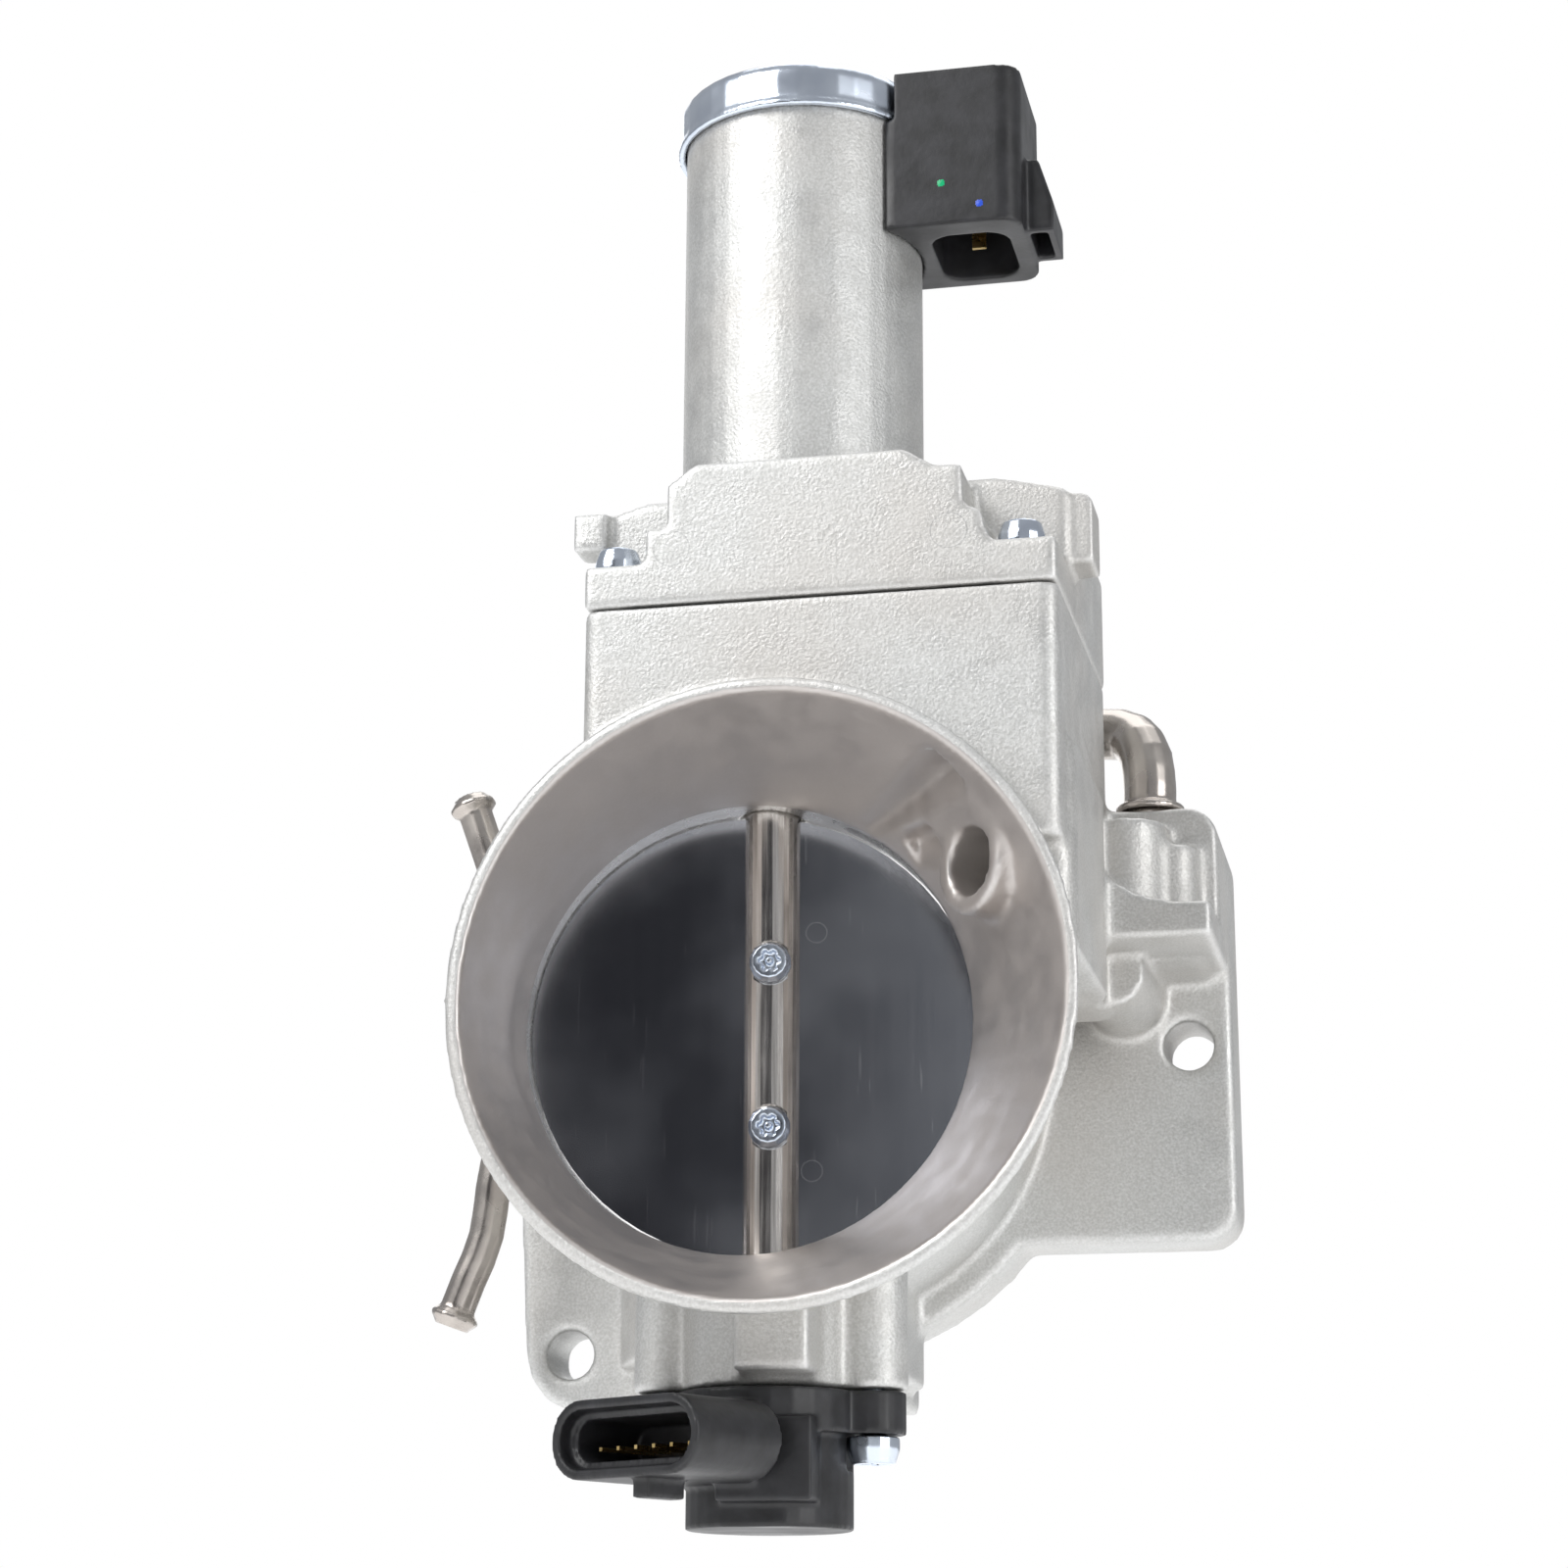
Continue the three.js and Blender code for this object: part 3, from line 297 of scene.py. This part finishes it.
def metal(name, dark, light, rough, stretch=(1, 1, 1), scale=300, depth=0.02):
    """Metal whose colour and gloss vary along the direction it was worked in."""
    n = Nodes(name)
    grain = n.noise(scale, 4, stretch)
    wear = n.spread(n.noise(90, 3), 0, 1)
    color = n.mix(n.spread(grain, 0, 1), rgb(*dark), rgb(*light))
    roughness = n.maths("ADD", n.spread(grain, rough * 0.8, rough * 1.2), n.maths("MULTIPLY", wear, 0.06))
    n.bump(grain, depth * MM, 0.35)
    return n.surface(color, roughness, 1.0)


def moulded(name, dark, light, rough, scale=900, depth=0.06):
    """Moulded plastic or rubber with a fine eroded texture and handled, glossier patches."""
    n = Nodes(name)
    color = n.mix(n.spread(n.noise(220, 4), 0, 1), rgb(*dark), rgb(*light))
    roughness = n.spread(n.noise(70, 3), rough - 0.07, rough + 0.09)
    n.bump(n.noise(scale, 3), depth * MM, 0.5)
    return n.surface(color, roughness, 0.0)


def plate_steel():
    """Dark polished plate with faint lengthwise brushing, a few scratches and two punch marks."""
    n = Nodes("plate_steel")
    brushed = n.noise(60, 2, (12, 1, 0.5))
    haze = n.noise(30, 3)
    scratch = n.spread(n.noise(55, 1, (30, 1, 1.4)), 0, 1, 0.72, 0.76)
    x, _, z = n.axes()
    marks = ring_marks(n, x, z, PLATE_MARKS, PLATE_MARK_RADIUS)
    color = n.mix(n.spread(haze, 0, 1), rgb(0.30, 0.31, 0.34), rgb(0.42, 0.43, 0.46))
    color = n.mix(n.maths("MULTIPLY", n.spread(brushed, 0, 1), 0.15), color, rgb(0.48, 0.49, 0.52))
    color = n.mix(n.maths("MULTIPLY", scratch, 0.4), color, rgb(0.7, 0.7, 0.72))
    color = n.mix(n.maths("MULTIPLY", marks, 0.7), color, rgb(0.75, 0.75, 0.77))
    return n.surface(color, n.spread(haze, 0.16, 0.24), 1.0)


MATERIALS = {
    "cast_aluminium": cast_aluminium(),
    "plate_steel": plate_steel(),
    "polished_steel": metal(
        "polished_steel", (0.52, 0.49, 0.46), (0.70, 0.67, 0.64), 0.17, (30, 30, 1), 60, 0.006
    ),
    "zinc_plate": metal(
        "zinc_plate", (0.62, 0.68, 0.78), (0.70, 0.76, 0.85), 0.2, scale=150, depth=0.004
    ),
    "stainless_tube": metal(
        "stainless_tube", (0.46, 0.42, 0.39), (0.55, 0.51, 0.47), 0.25, scale=160, depth=0.004
    ),
    "brass": metal("brass", (0.70, 0.50, 0.20), (0.86, 0.66, 0.32), 0.25),
    "copper": metal("copper", (0.55, 0.22, 0.09), (0.78, 0.38, 0.18), 0.3, (1, 1, 12)),
    "dark_iron": metal("dark_iron", (0.09, 0.09, 0.10), (0.2, 0.2, 0.21), 0.45, (1, 1, 20)),
    "black_plastic": moulded("black_plastic", (0.010, 0.010, 0.011), (0.022, 0.022, 0.025), 0.42),
    "rubber": moulded("rubber", (0.008, 0.008, 0.008), (0.022, 0.022, 0.022), 0.7),
    "gear_nylon": moulded("gear_nylon", (0.58, 0.53, 0.42), (0.76, 0.71, 0.60), 0.45),
    "board": moulded("board", (0.01, 0.12, 0.04), (0.02, 0.2, 0.07), 0.4),
}


def paint(name, color):
    return moulded(name, tuple(v * 0.8 for v in color), color, 0.35)


# ------------------------------------------------------------------ finish of the nodes


def dress(name, slot_name):
    """Gives a CAD node its material and, where it has one, its rounded edges."""
    node = NODES[name]
    node.data.materials.clear()
    node.data.materials.append(MATERIALS[slot_name])
    for face in node.data.polygons:
        face.use_smooth = True
    if name in VOXELS:
        remesh = node.modifiers.new("rounding", "REMESH")
        remesh.mode = "VOXEL"
        remesh.voxel_size = VOXELS[name] * MM
        remesh.use_smooth_shade = True
        soften = node.modifiers.new("softening", "SMOOTH")
        soften.factor = 0.5
        soften.iterations = SCREW_SMOOTH_ROUNDS if "screw" in name else SMOOTH_ROUNDS
    else:
        node.data.set_sharp_from_angle(angle=SMOOTH_ANGLE)


for entry in frame["record"]["subparts"]:
    dress(entry["node"], entry["material_slot"])


# ------------------------------------------------------------------ small pieces


def dot_mesh(name):
    """A low dome with an uneven rim, its crown towards -Y."""
    mesh = bpy.data.meshes.new(name)
    build = bmesh.new()
    rim = []
    for i in range(DOT_SIDES):
        turn = Matrix.Rotation(i * tau / DOT_SIDES, 4, "Y")
        wobble = 0.07 * ((i * 7) % 5 - 2)
        rim.append(build.verts.new(turn @ Vector((DOT_RADIUS * MM * (1 + wobble), 0.0, 0.0))))
    crown = build.verts.new((0, -DOT_CROWN * MM, 0))
    for i in range(DOT_SIDES):
        build.faces.new((rim[i], rim[(i + 1) % DOT_SIDES], crown))
    build.faces.new(list(reversed(rim)))
    bmesh.ops.recalc_face_normals(build, faces=build.faces)
    build.to_mesh(mesh)
    build.free()
    return mesh


def paint_dot(name, x, z, material):
    """A dab of marking paint on the front face of the motor connector."""
    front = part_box("motor_connector")[0].y
    dot = bpy.data.objects.new(name, dot_mesh(name))
    dot.location = (x, front + DOT_SINK * MM, z)
    dot.data.materials.append(material)
    bpy.context.scene.collection.objects.link(dot)
    bpy.context.view_layer.update()
    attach(dot, "housing")


for dot_name, dot_x, dot_z, dot_color in PAINT_DOTS:
    paint_dot(dot_name, dot_x * MM, dot_z * MM, paint(dot_name, dot_color))


# ------------------------------------------------------------------ stage


def plane(name, size, matrix, color, roughness, glow=0.0):
    """A square board of the studio, not part of the object."""
    mesh = bpy.data.meshes.new(name)
    half = size / 2
    mesh.from_pydata(
        [(-half, -half, 0), (half, -half, 0), (half, half, 0), (-half, half, 0)], [], [(0, 1, 2, 3)]
    )
    board = bpy.data.objects.new(name, mesh)
    board.matrix_world = matrix
    n = Nodes(name)
    n.feed(n.shader.inputs["Emission Color"], rgb(1, 1, 1))
    n.feed(n.shader.inputs["Emission Strength"], glow)
    board.data.materials.append(n.surface(rgb(*color), roughness, 0.0))
    bpy.context.scene.collection.objects.link(board)
    return board


def area_light(name, at, target, size, power):
    data = bpy.data.lights.new(name, "AREA")
    data.shape = "RECTANGLE"
    data.size, data.size_y = size
    data.energy = power
    lamp = bpy.data.objects.new(name, data)
    lamp.location = at
    lamp.rotation_euler = (Vector(target) - Vector(at)).to_track_quat("-Z", "Y").to_euler()
    bpy.context.scene.collection.objects.link(lamp)


def sky():
    """White behind the part, and a dimmer, faintly blue light on it."""
    world = bpy.data.worlds.new("studio")
    bpy.context.scene.world = world
    world.use_nodes = True
    tree = world.node_tree
    tree.nodes.clear()
    output = tree.nodes.new("ShaderNodeOutputWorld")
    seen = tree.nodes.new("ShaderNodeBackground")
    seen.inputs["Color"].default_value = rgb(1, 1, 1)
    lighting = tree.nodes.new("ShaderNodeBackground")
    lighting.inputs["Color"].default_value = rgb(*SKY_TINT)
    lighting.inputs["Strength"].default_value = SKY_STRENGTH
    path = tree.nodes.new("ShaderNodeLightPath")
    mix = tree.nodes.new("ShaderNodeMixShader")
    tree.links.new(path.outputs["Is Camera Ray"], mix.inputs[0])
    tree.links.new(lighting.outputs[0], mix.inputs[1])
    tree.links.new(seen.outputs[0], mix.inputs[2])
    tree.links.new(mix.outputs[0], output.inputs[0])


def dark_card():
    """What the plate and the shaft reflect: the dark side of the studio behind the camera."""
    upright = Matrix.Rotation(pi / 2, 4, "X")
    card = plane("dark_card", CARD_SIZE, Matrix.Translation(CARD_AT) @ upright, CARD_COLOR, 0.9)
    card.visible_camera = False


def camera():
    data = bpy.data.cameras.new("camera")
    data.lens = CAMERA_LENS
    data.sensor_width = SENSOR_WIDTH
    data.clip_start, data.clip_end = CLIP
    up = CAMERA_BACK.cross(CAMERA_RIGHT)
    pose = Matrix((CAMERA_RIGHT, up, CAMERA_BACK)).transposed().to_4x4()
    pose.translation = CAMERA_AT
    eye = bpy.data.objects.new("camera", data)
    eye.matrix_world = pose
    bpy.context.scene.collection.objects.link(eye)
    bpy.context.scene.camera = eye


floor_place = Matrix.Translation((0, 0, CAD_BOX[0].z - FLOOR_DROP))
plane("floor", FLOOR_SIZE, floor_place, FLOOR_COLOR, 0.7, FLOOR_GLOW)
sky()
for lamp in LAMPS:
    area_light(*lamp)
dark_card()
camera()
bpy.context.scene.view_settings.view_transform = "Standard"
